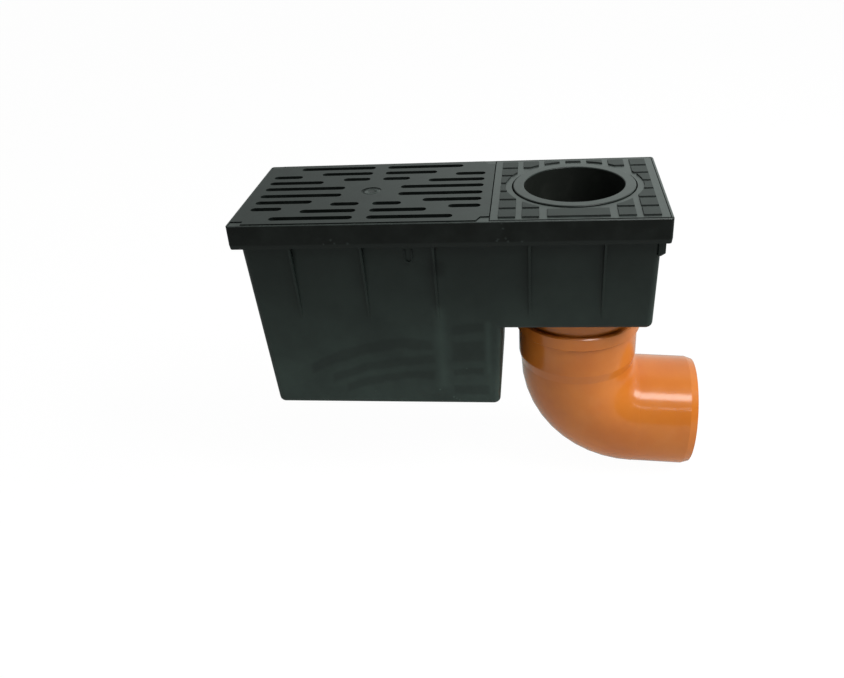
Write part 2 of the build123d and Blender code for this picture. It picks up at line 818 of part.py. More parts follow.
with BuildPart() as elbow:
    with BuildSketch(outlet_plane):
        with BuildLine():
            Polyline(
                (0, down(mouth_depth)),
                (mouth_collar_diameter / 2 - mouth_round, down(mouth_depth)),
                (mouth_collar_diameter / 2, down(mouth_depth + mouth_round)),
                (mouth_collar_diameter / 2, down(collar_bottom - mouth_collar_edge)),
                (mouth_collar_diameter / 2 - mouth_collar_edge, down(collar_bottom)),
                (socket_radius, down(collar_bottom)),
                (socket_radius, down(socket_end_depth)),
                (bend_radius, down(socket_end_depth + socket_shoulder_height)),
                (bend_radius, down(elbow_arc_depth)),
                (0, down(elbow_arc_depth)),
                close=True,
            )
        make_face()
    revolve(axis=outlet_axis)
    with BuildSketch(Plane.XY.offset(down(elbow_arc_depth))):
        with Locations((outlet_x, mid_y)):
            Circle(bend_radius)
    revolve(axis=bend_axis, revolution_arc=elbow_angle)
    with BuildSketch(spigot_plane):
        Circle(pipe_radius)
    extrude(amount=spigot_length - spigot_chamfer_length)
    with BuildSketch(spigot_plane.offset(spigot_length - spigot_chamfer_length)):
        Circle(pipe_radius)
    extrude(
        amount=spigot_chamfer_length,
        taper=math.degrees(math.atan2(spigot_chamfer, spigot_chamfer_length)),
    )

    # Passage, with the groove for the seal
    with BuildSketch(outlet_plane):
        with BuildLine():
            Polyline(
                (0, down(mouth_depth - overrun)),
                (pipe_radius + mouth_bore_gap, down(mouth_depth - overrun)),
                (pipe_radius + mouth_bore_gap, down(groove_top_depth)),
                (groove_radius, down(groove_top_depth)),
                (groove_radius, down(groove_bottom_depth)),
                (socket_bore, down(groove_bottom_depth)),
                (socket_bore, down(stub_end_depth + socket_gap)),
                (passage, down(stub_end_depth + socket_gap + elbow_wall)),
                (passage, down(elbow_arc_depth)),
                (0, down(elbow_arc_depth)),
                close=True,
            )
        make_face()
    revolve(axis=outlet_axis, mode=Mode.SUBTRACT)
    with BuildSketch(Plane.XY.offset(down(elbow_arc_depth))):
        with Locations((outlet_x, mid_y)):
            Circle(passage)
    revolve(axis=bend_axis, revolution_arc=elbow_angle, mode=Mode.SUBTRACT)
    with BuildSketch(spigot_plane):
        Circle(passage)
    extrude(amount=spigot_length + overrun, mode=Mode.SUBTRACT)

elbow.part.label = "elbow"
export_step(elbow.part, "parts/elbow.step")

# Lip seal in the elbow's groove, just clear of the stub
with BuildPart() as elbow_seal:
    seal_lip = pipe_radius + seal_gap
    seal_body = pipe_radius + mouth_bore_gap
    with BuildSketch(outlet_plane):
        with BuildLine():
            Polyline(
                (seal_body, down(groove_top_depth)),
                (groove_radius, down(groove_top_depth)),
                (groove_radius, down(groove_bottom_depth)),
                (seal_lip, down(groove_bottom_depth)),
                (seal_lip, down(groove_bottom_depth - seal_groove_top)),
                close=True,
            )
        make_face()
    revolve(axis=outlet_axis)

elbow_seal.part.label = "elbow_seal"
export_step(elbow_seal.part, "parts/elbow_seal.step")
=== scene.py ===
import math

import bmesh
import bpy
from mathutils import Matrix, Vector


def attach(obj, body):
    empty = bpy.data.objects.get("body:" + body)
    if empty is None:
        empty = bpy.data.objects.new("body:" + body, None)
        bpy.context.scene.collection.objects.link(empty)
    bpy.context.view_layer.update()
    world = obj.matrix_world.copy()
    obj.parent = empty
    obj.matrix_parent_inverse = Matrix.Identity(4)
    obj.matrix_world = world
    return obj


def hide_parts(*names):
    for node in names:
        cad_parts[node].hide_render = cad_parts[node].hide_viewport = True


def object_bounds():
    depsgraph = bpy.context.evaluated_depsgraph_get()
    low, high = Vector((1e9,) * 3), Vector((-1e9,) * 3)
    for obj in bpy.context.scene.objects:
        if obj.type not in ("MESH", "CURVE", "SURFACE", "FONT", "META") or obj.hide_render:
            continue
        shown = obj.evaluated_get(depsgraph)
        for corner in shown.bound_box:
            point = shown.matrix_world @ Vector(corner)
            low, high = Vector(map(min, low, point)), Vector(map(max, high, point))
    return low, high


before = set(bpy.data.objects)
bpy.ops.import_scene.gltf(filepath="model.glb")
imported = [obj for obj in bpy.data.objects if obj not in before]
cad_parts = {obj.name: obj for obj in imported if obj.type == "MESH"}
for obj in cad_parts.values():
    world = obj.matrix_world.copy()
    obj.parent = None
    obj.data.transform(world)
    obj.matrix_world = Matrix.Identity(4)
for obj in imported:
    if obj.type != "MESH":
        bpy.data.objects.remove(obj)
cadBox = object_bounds()
print("gully trap: packed model loaded")

mm = 0.001


def linearColour(hexText):
    # an sRGB hex value turned to the linear colour that a socket takes
    channels = [int(hexText[i:i + 2], 16) / 255 for i in (1, 3, 5)]
    linear = [c / 12.92 if c <= 0.04045 else ((c + 0.055) / 1.055) ** 2.4 for c in channels]
    return (*linear, 1)


def addNode(tree, kind, inputs=None, **settings):
    # one node, with its settings, and each input given as a value or as a socket to link from
    node = tree.nodes.new(kind)
    for name, value in settings.items():
        setattr(node, name, value)
    for name, value in (inputs or {}).items():
        if isinstance(value, bpy.types.NodeSocket):
            tree.links.new(value, node.inputs[name])
        else:
            node.inputs[name].default_value = value
    return node


def newMaterial(name):
    material = bpy.data.materials.new(name)
    material.use_nodes = True
    tree = material.node_tree
    tree.nodes.clear()
    shader = addNode(tree, "ShaderNodeBsdfPrincipled")
    surface = addNode(tree, "ShaderNodeOutputMaterial").inputs["Surface"]
    tree.links.new(shader.outputs["BSDF"], surface)
    return material, tree, shader, surface


def calculate(tree, operation, first, second=0.0, clamp=False):
    node = addNode(tree, "ShaderNodeMath", {0: first, 1: second}, operation=operation, use_clamp=clamp)
    return node.outputs[0]


def product(tree, *factors):
    result = factors[0]
    for factor in factors[1:]:
        result = calculate(tree, "MULTIPLY", result, factor)
    return result


def rest(tree, share):
    return calculate(tree, "SUBTRACT", 1.0, share)


def eitherWay(tree, share, first, second):
    # first by its share, second by the rest
    return calculate(tree, "ADD", product(tree, share, first), product(tree, rest(tree, share), second))


def largest(tree, masks):
    result = masks[0]
    for mask in masks[1:]:
        result = calculate(tree, "MAXIMUM", result, mask)
    return result


def blendColour(tree, factor, first, second):
    node = addNode(tree, "ShaderNodeMix", {0: factor, 6: first, 7: second}, data_type="RGBA")
    return node.outputs[2]


def blendHex(tree, factor, first, second):
    return blendColour(tree, factor, linearColour(first), linearColour(second))


def softStep(tree, value, low, high, toLow=0.0, toHigh=1.0):
    # goes from toLow to toHigh while value goes from low to high
    ends = {"Value": value, "From Min": low, "From Max": high, "To Min": toLow, "To Max": toHigh}
    node = addNode(tree, "ShaderNodeMapRange", ends, interpolation_type="SMOOTHSTEP")
    return node.outputs["Result"]


def softStepMm(tree, value, low, high, toLow=0.0, toHigh=1.0):
    return softStep(tree, value, low * mm, high * mm, toLow, toHigh)


def objectPlace(tree):
    # the place on the object in metres, as one vector and as its three axes
    coordinates = addNode(tree, "ShaderNodeTexCoord").outputs["Object"]
    return coordinates, addNode(tree, "ShaderNodeSeparateXYZ", {0: coordinates}).outputs


def noise(tree, coordinates, look):
    # size is the real size of one blotch or grain in millimetres
    if "stretch" in look:
        coordinates = addNode(tree, "ShaderNodeMapping",
                              {"Vector": coordinates, "Scale": look["stretch"]}).outputs["Vector"]
    node = addNode(tree, "ShaderNodeTexNoise",
                   {"Vector": coordinates, "Scale": 1 / (look["size"] * mm), "Detail": look["detail"],
                    "Roughness": look["fine"]})
    return node.outputs["Fac"]


def patches(tree, coordinates, look):
    # soft patches: reach is what the noise becomes over its span
    return softStep(tree, noise(tree, coordinates, look), *look["span"], *look["reach"])


def bump(tree, height, strength, depth, below=None):
    node = addNode(tree, "ShaderNodeBump", {"Strength": strength, "Distance": depth * mm, "Height": height})
    if below:
        tree.links.new(below, node.inputs["Normal"])
    return node.outputs["Normal"]


def relief(tree, coordinates, look):
    return bump(tree, noise(tree, coordinates, look), look["strength"], look["depth"])


def distanceTo(tree, coordinates, place):
    middle = tuple(v * mm for v in place)
    node = addNode(tree, "ShaderNodeVectorMath", {0: coordinates, 1: middle}, operation="DISTANCE")
    return node.outputs["Value"]


def strokeMask(tree, x, z, mark):
    # a soft stroke: x and z in metres, its middle line bends down away from its crest
    away = calculate(tree, "SUBTRACT", x, mark["crest"][0] * mm)
    drop = product(tree, away, away, mark["bend"] / mm)
    middle = calculate(tree, "SUBTRACT", mark["crest"][1] * mm, drop)
    offLine = calculate(tree, "ABSOLUTE", calculate(tree, "SUBTRACT", z, middle))
    half, soft = mark["half"], mark["soft"]
    left, right = mark["span"]
    across = softStepMm(tree, offLine, half - soft, half + soft, 1.0, 0.0)
    start = softStepMm(tree, x, left, left + 2 * soft)
    end = softStepMm(tree, x, right - 2 * soft, right, 1.0, 0.0)
    return product(tree, across, start, end)


fleckLook = {"ragged": {"size": 1.6, "detail": 4, "fine": 0.85}, "raggedBy": 4.2, "core": 1.6, "edge": 2.2}


def fleckMask(tree, coordinates, look):
    # small ragged nicks at (x, z, radius) in millimetres, on a plane across y
    ragged = product(tree, noise(tree, coordinates, fleckLook["ragged"]), fleckLook["raggedBy"] * mm)
    masks = []
    for x, z, radius in look["flecks"]:
        away = distanceTo(tree, coordinates, (x, look["fleckPlane"], z))
        rough = calculate(tree, "ADD", away, ragged)
        masks.append(softStepMm(tree, rough, fleckLook["core"], fleckLook["edge"] + radius, 1.0, 0.0))
    return largest(tree, masks)


def finishMaterial(tree, shader, look, colour, roughness, normal=None):
    shader.inputs["IOR"].default_value = look["ior"]
    shader.inputs["Specular IOR Level"].default_value = look["specular"]
    tree.links.new(colour, shader.inputs["Base Color"])
    tree.links.new(roughness, shader.inputs["Roughness"])
    if normal:
        tree.links.new(normal, shader.inputs["Normal"])


def duller(tree, dust, look):
    # dust takes the gloss away, and is at its dullest when it covers half
    return softStep(tree, dust, 0.0, 0.5, look["roughness"], look["dusty"])


def addPiece(name, shape):
    mesh = bpy.data.meshes.new(name)
    shape.to_mesh(mesh)
    shape.free()
    piece = bpy.data.objects.new(name, mesh)
    bpy.context.scene.collection.objects.link(piece)
    return piece


def bevelEdges(shape, edges, radius):
    bmesh.ops.bevel(shape, geom=edges, offset=radius * mm, offset_type="OFFSET", segments=2, profile=0.5,
                    affect="EDGES", clamp_overlap=True, material=-1)


# Rounded copies of the moulded pieces: the mould's sharp edges get the small radius that a
# moulded edge has, so that they catch the light
rounding = {
    "gully_body": {"piece": "moulded_box", "body": "gully", "radius": 0.45, "angle": 32},
    "slotted_grate": {"piece": "moulded_grate", "body": "gully", "radius": 0.5, "angle": 32},
    "cover_plate": {"piece": "moulded_cover", "body": "gully", "radius": 0.3, "angle": 25},
    "inlet_ring": {"piece": "moulded_ring", "body": "gully", "radius": 0.35, "angle": 32},
    "elbow": {"piece": "moulded_elbow", "body": "elbow", "radius": 0.5, "angle": 11},
    "outlet_stub": {"piece": "cut_stub", "body": "gully", "radius": 0.3, "angle": 32},
}
smoothAngle = math.radians(28)
flatAngle = math.radians(0.4)
joinDistance = 0.002 * mm


def roundedCopy(node, look):
    shape = bmesh.new()
    shape.from_mesh(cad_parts[node].data)
    bmesh.ops.remove_doubles(shape, verts=shape.verts, dist=joinDistance)
    bmesh.ops.dissolve_limit(shape, angle_limit=flatAngle, verts=shape.verts, edges=shape.edges)
    sharp = [e for e in shape.edges
             if len(e.link_faces) == 2 and e.calc_face_angle(0) > math.radians(look["angle"])]
    bevelEdges(shape, sharp, look["radius"])
    for face in shape.faces:
        face.smooth = True
    piece = addPiece(look["piece"], shape)
    piece.data.set_sharp_from_angle(angle=smoothAngle)
    level = piece.modifiers.new("evenNormals", "WEIGHTED_NORMAL")  # keeps the flat faces flat
    level.keep_sharp = True
    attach(piece, look["body"])
    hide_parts(node)
    return piece


pieces = {node: roundedCopy(node, look) for node, look in rounding.items()}
print("gully trap: rounded", ", ".join(p.name for p in pieces.values()))

# Short lugs under the rim at the two corners of the outlet end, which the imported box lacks
lugLook = {"left": 68.3, "right": 74.4, "top": -23.2, "bottom": -38.2, "chamferWide": 3.8,
           "chamferHigh": 2.5, "middle": -6.0, "half": 71.7, "width": 12.0, "radius": 0.4}


def cornerLug(look, name, side):
    outline = [(look["left"], look["top"]), (look["right"], look["top"]),
               (look["right"], look["bottom"] + look["chamferHigh"]),
               (look["right"] - look["chamferWide"], look["bottom"]), (look["left"], look["bottom"])]
    outer = look["middle"] + side * look["half"]
    shape = bmesh.new()
    face = shape.faces.new([shape.verts.new((x * mm, outer * mm, z * mm)) for x, z in outline])
    added = bmesh.ops.extrude_face_region(shape, geom=[face])["geom"]
    moved = [v for v in added if isinstance(v, bmesh.types.BMVert)]
    bmesh.ops.translate(shape, verts=moved, vec=(0, -side * look["width"] * mm, 0))
    bevelEdges(shape, shape.edges[:], look["radius"])
    bmesh.ops.recalc_face_normals(shape, faces=shape.faces)
    piece = addPiece(name, shape)
    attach(piece, "gully")
    return piece


lugs = [cornerLug(lugLook, "front_lug", -1), cornerLug(lugLook, "back_lug", 1)]
print("gully trap: lugs added")

# Box: injection moulded polypropylene, coloured through with carbon black. The mould's fine
# spark grain makes it satin, a film of dust greys it, and the box is made paler towards the bottom
boxLook = {
    "plastic": "#0a0e0c",
    "dust": "#5a6f67",
    "ior": 1.49,
    "specular": 0.27,
    "roughness": 0.42,
    "dusty": 0.58,
    # real grain is about 0.1 mm, drawn as coarse as it needs to show
    "grain": {"size": 0.6, "detail": 2, "fine": 0.7, "strength": 0.5, "depth": 0.02},
    "heights": (-190.0, -40.0),
    "filmAtHeights": (0.26, 0.075),
    "cloud": {"size": 55, "detail": 4, "fine": 0.6, "span": (0.25, 0.75), "reach": (0.75, 1.25)},
    # every stroke wanders a little off its line
    "wander": {"size": 26, "detail": 3, "fine": 0.5},
    "wanderBy": 11.0,
    "sidewaysShare": 0.6,
    "front": (-69.0, -68.0),
    # strokes wiped through the dust by fingers, low on the front
    "wiped": 0.3,
    "wipes": [
        {"crest": (-150, -128), "bend": 0.0028, "half": 6.0, "soft": 2.5, "span": (-252, -128)},
        {"crest": (-142, -146), "bend": 0.0029, "half": 5.0, "soft": 2.5, "span": (-234, -128)},
        {"crest": (-138, -163), "bend": 0.0025, "half": 4.5, "soft": 2.5, "span": (-220, -128)},
        {"crest": (-88, -110), "bend": 0.006, "half": 5.0, "soft": 2.5, "span": (-114, -80)},
        {"crest": (-98, -136), "bend": 0.0, "half": 11.0, "soft": 2.5, "span": (-115, -80)},
        {"crest": (-98, -159), "bend": 0.0, "half": 3.5, "soft": 2.0, "span": (-114, -82)},
        {"crest": (-98, -180), "bend": 0.002, "half": 5.5, "soft": 2.0, "span": (-115, -77)},
    ],
    "smudged": 0.6,
    "smudge": {"crest": (-121, -47), "bend": 0.0, "half": 8.0, "soft": 5.0, "span": (-133, -109)},
    "pale": 0.09,
    "paleBands": [
        {"crest": (-122, -133), "bend": 0.0, "half": 45.0, "soft": 5.0, "span": (-131, -113)},
        {"crest": (-78, -132), "bend": 0.0, "half": 28.0, "soft": 3.0, "span": (-83.5, -73.5)},
    ],
    "fleckDust": 0.5,
    "fleckPlane": -71.5,
    "flecks": [(-99.3, -154.8, 1.3), (-113.3, -188.5, 1.6), (-108, -191.6, 1.5), (-110.6, -190.2, 1.2),
               (-126.4, -179.6, 1.1), (-197.8, -187.7, 1.0), (-189.8, -182.1, 0.9)],
}


def boxPlastic(look):
    material, tree, shader, _ = newMaterial("carbonBlackPolypropyleneSatin")
    coordinates, axes = objectPlace(tree)
    off = calculate(tree, "SUBTRACT", noise(tree, coordinates, look["wander"]), 0.5)
    wander = product(tree, off, look["wanderBy"] * mm)
    z = calculate(tree, "ADD", axes["Z"], wander)
    x = calculate(tree, "ADD", axes["X"], product(tree, wander, look["sidewaysShare"]))
    front = softStepMm(tree, axes["Y"], *look["front"], 1.0, 0.0)
    # the film grows towards the bottom
    height = softStepMm(tree, axes["Z"], *look["heights"], *look["filmAtHeights"])
    film = product(tree, height, patches(tree, coordinates, look["cloud"]))
    wiped = product(tree, largest(tree, [strokeMask(tree, x, z, m) for m in look["wipes"]]), look["wiped"])
    smudged = product(tree, strokeMask(tree, x, z, look["smudge"]), look["smudged"])
    cleaned = product(tree, calculate(tree, "MAXIMUM", wiped, smudged), front)
    bands = largest(tree, [strokeMask(tree, x, z, m) for m in look["paleBands"]])
    film = product(tree, film, rest(tree, cleaned))
    film = calculate(tree, "ADD", film, product(tree, bands, front, look["pale"]))
    flecks = product(tree, fleckMask(tree, coordinates, look), look["fleckDust"])
    dust = calculate(tree, "ADD", film, flecks, True)
    finishMaterial(tree, shader, look, blendHex(tree, dust, look["plastic"], look["dust"]),
                   duller(tree, dust, look), relief(tree, coordinates, look["grain"]))
    return material


# Rim: the same polypropylene off a smoother, deeper part of the mould, handled and so less
# dusty: it is the darkest face, a little brown, with pale nicks along its lower edge
rimLook = {
    "plastic": "#090c09",
    "dust": "#6d7a76",
    "ior": 1.49,
    "specular": 0.23,
    "roughness": 0.5,
    "dusty": 0.7,
    "waves": {"size": 0.8, "detail": 2, "fine": 0.6, "strength": 0.3, "depth": 0.02},
    "cloud": {"size": 28, "detail": 4, "fine": 0.6, "span": (0.35, 0.8), "reach": (0.0, 0.036)},
    "scuffs": {"size": 6, "detail": 4, "fine": 0.7, "stretch": (0.5, 1, 1), "span": (0.62, 0.8),
               "reach": (0.0, 0.03)},
    # the rim's lowest strip is made a little paler
    "lowEdge": (-20.5, -18.5),
    "lowEdgePaleness": 0.05,
    "fleckDust": 0.16,
    "fleckPlane": -85.0,
    "flecks": [(-211.7, -15.3, 1.7), (-208.8, -18.9, 1.5), (-197.2, -19, 1.7), (-218.8, -19.1, 1.2),
               (-66.3, -17.1, 1.3), (-60, -16.3, 1.7), (-61.8, -7.5, 1.5), (-63.1, -2.6, 1.4),
               (-67.4, -18.5, 1.6), (-57.9, -19.2, 1.6), (-45.8, -19.4, 1.5)],
}


def rimPlastic(look):
    material, tree, shader, _ = newMaterial("carbonBlackPolypropyleneSmooth")
    coordinates, axes = objectPlace(tree)
    cloud = patches(tree, coordinates, look["cloud"])
    lowEdge = softStepMm(tree, axes["Z"], *look["lowEdge"], look["lowEdgePaleness"], 0.0)
    scuffs = patches(tree, coordinates, look["scuffs"])
    flecks = product(tree, fleckMask(tree, coordinates, look), look["fleckDust"])
    dust = calculate(tree, "ADD", largest(tree, [cloud, lowEdge]), largest(tree, [flecks, scuffs]), True)
    finishMaterial(tree, shader, look, blendHex(tree, dust, look["plastic"], look["dust"]),
                   duller(tree, dust, look), relief(tree, coordinates, look["waves"]))
    return material


# Tops: the same plastic where feet and rain reach it. Dust and fine scratches turn it grey-green
# under the sky, and the smooth channels are brighter than the matt pads: they are glossier, and their
# thicker, paler film is partly dust and partly painted sheen. A painted shade darkens and dulls the gap
# along the cover's front edge, and the mould's gate left a small dish in the grate, with a raised ring,
# paler partly from wear and partly as a painted highlight, and a dimple darkened as painted shade
# painted shade: the strip in the gap along the cover's front edge loses its dust and its gloss, where the
# gap's shadow falls
coverGapShade = {"front": -83.4, "back": -81.0, "left": -73.5, "soft": 0.15, "roughness": 1.0}
# the gate ring's extra paleness is partly wear and partly a painted highlight, and the dimple's dark centre
# is painted shade
grateGate = {"place": (-187.6, -6, -1.2), "rise": (2.5, 6.0), "fall": (6.0, 8.5), "depth": 1.1,
             "worn": 0.07, "dimpleShade": (1.2, 2.6)}
topLooks = {
    "grate": {"name": "weatheredPolypropyleneGrate", "plastic": "#090c0b", "dust": "#5f7069",
              "film": 0.035, "specular": 0.55, "roughness": 0.4, "grain": 0.7, "depth": 0.03,
              "mottle": 16, "gate": grateGate},
    "pads": {"name": "weatheredPolypropylenePads", "plastic": "#090c0b", "dust": "#5a6b64",
             "film": 0.045, "specular": 0.58, "roughness": 0.52, "grain": 0.7, "depth": 0.045,
             "mottle": 10, "gapShade": coverGapShade},
    # the channels' thicker, paler film is partly dust and partly painted sheen
    "channels": {"name": "smoothPolypropyleneChannelsDustAndSheen", "plastic": "#0b0e0d", "dust": "#6b7c75",
                 "film": 0.07, "specular": 0.72, "roughness": 0.34, "grain": 0.9, "depth": 0.015,
                 "mottle": 12, "gapShade": coverGapShade},
    "ring": {"name": "smoothPolypropyleneRing", "plastic": "#0b0e0d", "dust": "#73847d",
             "film": 0.05, "specular": 0.5, "roughness": 0.3, "grain": 1.0, "depth": 0.012,
             "mottle": 14},
}
weather = {
    "ior": 1.49,
    "dulled": 0.22,
    "cloud": {"detail": 5, "fine": 0.62, "span": (0.3, 0.72), "reach": (0.4, 1.5)},
    "speck": {"size": 1.6, "detail": 3, "fine": 0.7, "span": (0.6, 0.75), "reach": (0.0, 0.03)},
    "grain": {"detail": 2, "fine": 0.7, "strength": 0.6},
}


# painted shade along the gap at the cover's front edge
def gapShadeMask(tree, coordinates, gapShade):
    axes = addNode(tree, "ShaderNodeSeparateXYZ", {0: coordinates}).outputs
    front, back, left, soft = (gapShade[name] for name in ("front", "back", "left", "soft"))
    behind = softStepMm(tree, axes["Y"], front - soft, front + soft)
    before = softStepMm(tree, axes["Y"], back - soft, back + soft, 1.0, 0.0)
    along = softStepMm(tree, axes["X"], left - soft, left + soft)
    return product(tree, behind, before, along)


def topPlastic(look):
    material, tree, shader, _ = newMaterial(look["name"])
    coordinates, _ = objectPlace(tree)
    cloud = patches(tree, coordinates, {**weather["cloud"], "size": look["mottle"]})
    speck = patches(tree, coordinates, weather["speck"])
    dust = calculate(tree, "ADD", product(tree, cloud, look["film"]), speck, True)
    rough = duller(tree, dust, {**look, "dusty": look["roughness"] + weather["dulled"]})
    normal = relief(tree, coordinates, {**weather["grain"], "size": look["grain"], "depth": look["depth"]})
    # painted shade in the gap: dust taken away and the gloss dulled
    if "gapShade" in look:
        gapShaded = gapShadeMask(tree, coordinates, look["gapShade"])
        dust = product(tree, dust, rest(tree, gapShaded))
        rough = eitherWay(tree, gapShaded, look["gapShade"]["roughness"], rough)
    if "gate" in look:
        gate = look["gate"]
        away = distanceTo(tree, coordinates, gate["place"])
        falling = softStepMm(tree, away, *gate["fall"], 1.0, 0.0)
        ring = product(tree, softStepMm(tree, away, *gate["rise"]), falling)
        normal = bump(tree, ring, 1.0, gate["depth"], normal)
        # the ring is paler partly from wear and partly as a painted highlight, and the dimple's centre is
        # left bare as painted shade
        worn = calculate(tree, "ADD", dust, product(tree, ring, gate["worn"]), True)
        dust = product(tree, worn, softStepMm(tree, away, *gate["dimpleShade"]))
    colour = blendHex(tree, dust, look["plastic"], look["dust"])
    finishMaterial(tree, shader, {**look, "ior": weather["ior"]}, colour, rough, normal)
    return material


# Inside pieces: the same polypropylene, smooth and clean, nearly black, but painted paler than the box
# outside as painted light inside the hole
insidePaintedLightLook = {
    # paler than the box's own plastic: painted light for the inside of the hole
    "plastic": "#181b18",
    "worn": "#242622",
    "ior": 1.49,
    "specular": 0.4,
    "roughness": 0.5,
    "dusty": 0.65,
    "cloud": {"size": 20, "detail": 4, "fine": 0.6, "span": (0.4, 0.8), "reach": (0.0, 0.5)},
}


def insidePaintedLightPlastic(look):
    material, tree, shader, _ = newMaterial("carbonBlackPolypropyleneInsidePaintedLight")
    coordinates, _ = objectPlace(tree)
    cloud = patches(tree, coordinates, look["cloud"])
    finishMaterial(tree, shader, look, blendHex(tree, cloud, look["plastic"], look["worn"]),
                   duller(tree, cloud, look))
    return material


# Drain pipe and elbow: orange-brown PVC-U, moulded in a polished tool, so it is glossy and takes
# sharp highlights, with handling scratches and a thin haze of dust
drainLook = {
    "pvc": "#ca752a",
    "deep": "#c16b24",
    "haze": "#d9a27c",
    "ior": 1.54,
    "specular": 0.5,
    "roughness": 0.16,
    "hazeDullness": 0.9,
    "flow": {"size": 45, "detail": 3, "fine": 0.5, "span": (0.3, 0.7), "reach": (0.0, 1.0)},
    "cloud": {"size": 18, "detail": 5, "fine": 0.65, "span": (0.45, 0.8), "reach": (0.0, 0.05)},
    "scratches": {"size": 1.2, "detail": 4, "fine": 0.75, "stretch": (0.12, 1, 1), "span": (0.66, 0.74),
                  "reach": (0.0, 0.0875)},
    "waves": {"size": 6, "detail": 3, "fine": 0.5, "strength": 0.25, "depth": 0.03},
}


def drainPlastic(look):
    material, tree, shader, _ = newMaterial("orangeBrownPvcGlossy")
    coordinates, _ = objectPlace(tree)
    body = blendHex(tree, patches(tree, coordinates, look["flow"]), look["deep"], look["pvc"])
    cloud = patches(tree, coordinates, look["cloud"])
    haze = calculate(tree, "ADD", cloud, patches(tree, coordinates, look["scratches"]), True)
    rough = calculate(tree, "ADD", look["roughness"], product(tree, haze, look["hazeDullness"]), True)
    finishMaterial(tree, shader, look, blendColour(tree, haze, body, linearColour(look["haze"])), rough,
                   relief(tree, coordinates, look["waves"]))
    return material


# Seals: black SBR rubber, compression moulded, dull with a faint bloom
rubberLook = {
    "rubber": "#0c0c0c",
    "bloom": "#33312e",
    "ior": 1.52,
    "specular": 0.5,
    "roughness": 0.62,
    "dusty": 0.8,
    "cloud": {"size": 5, "detail": 4, "fine": 0.6, "span": (0.45, 0.8), "reach": (0.0, 0.5)},
}


def sealRubber(look):
    material, tree, shader, _ = newMaterial("blackSbrRubberDull")
    coordinates, _ = objectPlace(tree)
    bloom = patches(tree, coordinates, look["cloud"])
    finishMaterial(tree, shader, look, blendHex(tree, bloom, look["rubber"], look["bloom"]),
                   duller(tree, bloom, look))
    return material


box = boxPlastic(boxLook)
rim = rimPlastic(rimLook)
tops = {name: topPlastic(look) for name, look in topLooks.items()}
insidePaintedLight = insidePaintedLightPlastic(insidePaintedLightLook)
drain = drainPlastic(drainLook)
rubber = sealRubber(rubberLook)
print("gully trap: materials made")


def dress(piece, materials, choose=None):
    piece.data.materials.clear()
    for material in materials:
        piece.data.materials.append(material)
    for face in piece.data.polygons:
        face.material_index = choose(face) if choose else 0


# Which faces of the box are its rim, which of them look up, and which are inside
rimZones = {"rimBottom": -24.2, "upward": 0.6, "lipTop": -3.0}
cavity = {"seat": -16.0, "middle": -6.0, "halfAtSeat": 69.2, "lean": 0.0402, "left": -295.6,
          "leftLean": 0.0507, "right": 67.2, "chamberFloor": -111.0, "step": -68.0, "downward": -0.5}


def isInside(place, normal):
    below = cavity["seat"] - place.z
    if below < 0 or normal.z < cavity["downward"]:
        return False
    right = cavity["right"] if place.z > cavity["chamberFloor"] else cavity["step"]
    withinLength = cavity["left"] + below * cavity["leftLean"] < place.x < right
    return withinLength and abs(place.y - cavity["middle"]) < cavity["halfAtSeat"] - below * cavity["lean"]


def boxFace(face):
    place = face.center / mm
    if isInside(place, face.normal):
        return 3
    if place.z < rimZones["rimBottom"]:
        return 0
    return 2 if face.normal.z > rimZones["upward"] and place.z > rimZones["lipTop"] else 1


# The ring's flange is bright, and its sleeve is of the dark inside plastic with its painted light
ringZones = {"top": -0.9, "sleeveRadius": 52.0}


def ringFace(face):
    place = face.center / mm
    flange = place.z > ringZones["top"] or Vector((place.x, place.y)).length > ringZones["sleeveRadius"]
    return 0 if flange else 1


padZones = {"channelFloor": -1.0, "upward": 0.8}


def coverFace(face):
    isFloor = face.normal.z > padZones["upward"] and face.center.z / mm < padZones["channelFloor"]
    return 1 if isFloor else 0


dress(pieces["gully_body"], [box, rim, tops["channels"], insidePaintedLight], boxFace)
dress(pieces["slotted_grate"], [tops["grate"]])
dress(pieces["cover_plate"], [tops["pads"], tops["channels"]], coverFace)
dress(pieces["inlet_ring"], [tops["ring"], insidePaintedLight], ringFace)
for lug in lugs:
    dress(lug, [box])
for node in ("elbow", "outlet_stub"):
    dress(pieces[node], [drain])
for node in ("leaf_basket", "trap_insert"):
    dress(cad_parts[node], [insidePaintedLight])
for node in ("outlet_seal", "elbow_seal"):
    dress(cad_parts[node], [rubber])
print("gully trap: pieces dressed")

studioTint = (0.9, 1.0, 0.955, 1)  # the studio's white panels have a faint green cast
plainWhite = (1, 1, 1, 1)


def rayShare(tree, kinds):
    # 1 for the rays of these kinds
    path = addNode(tree, "ShaderNodeLightPath").outputs
    return largest(tree, [path[kind] for kind in kinds])


# Floor, plain and white. To the camera it is white as it stands, with a small share left for the
# object's shadow; in reflections it glows as a tinted light, dimmer at the front than at the back
floorLook = {"gap": 0.4, "half": 4.0, "colour": "#f4f4f2", "roughness": 0.9, "shadowShare": 0.05,
             "asSeen": 1.03, "mirrorFront": 0.5, "mirrorBack": 1.0, "turn": (0.15, 0.9)}


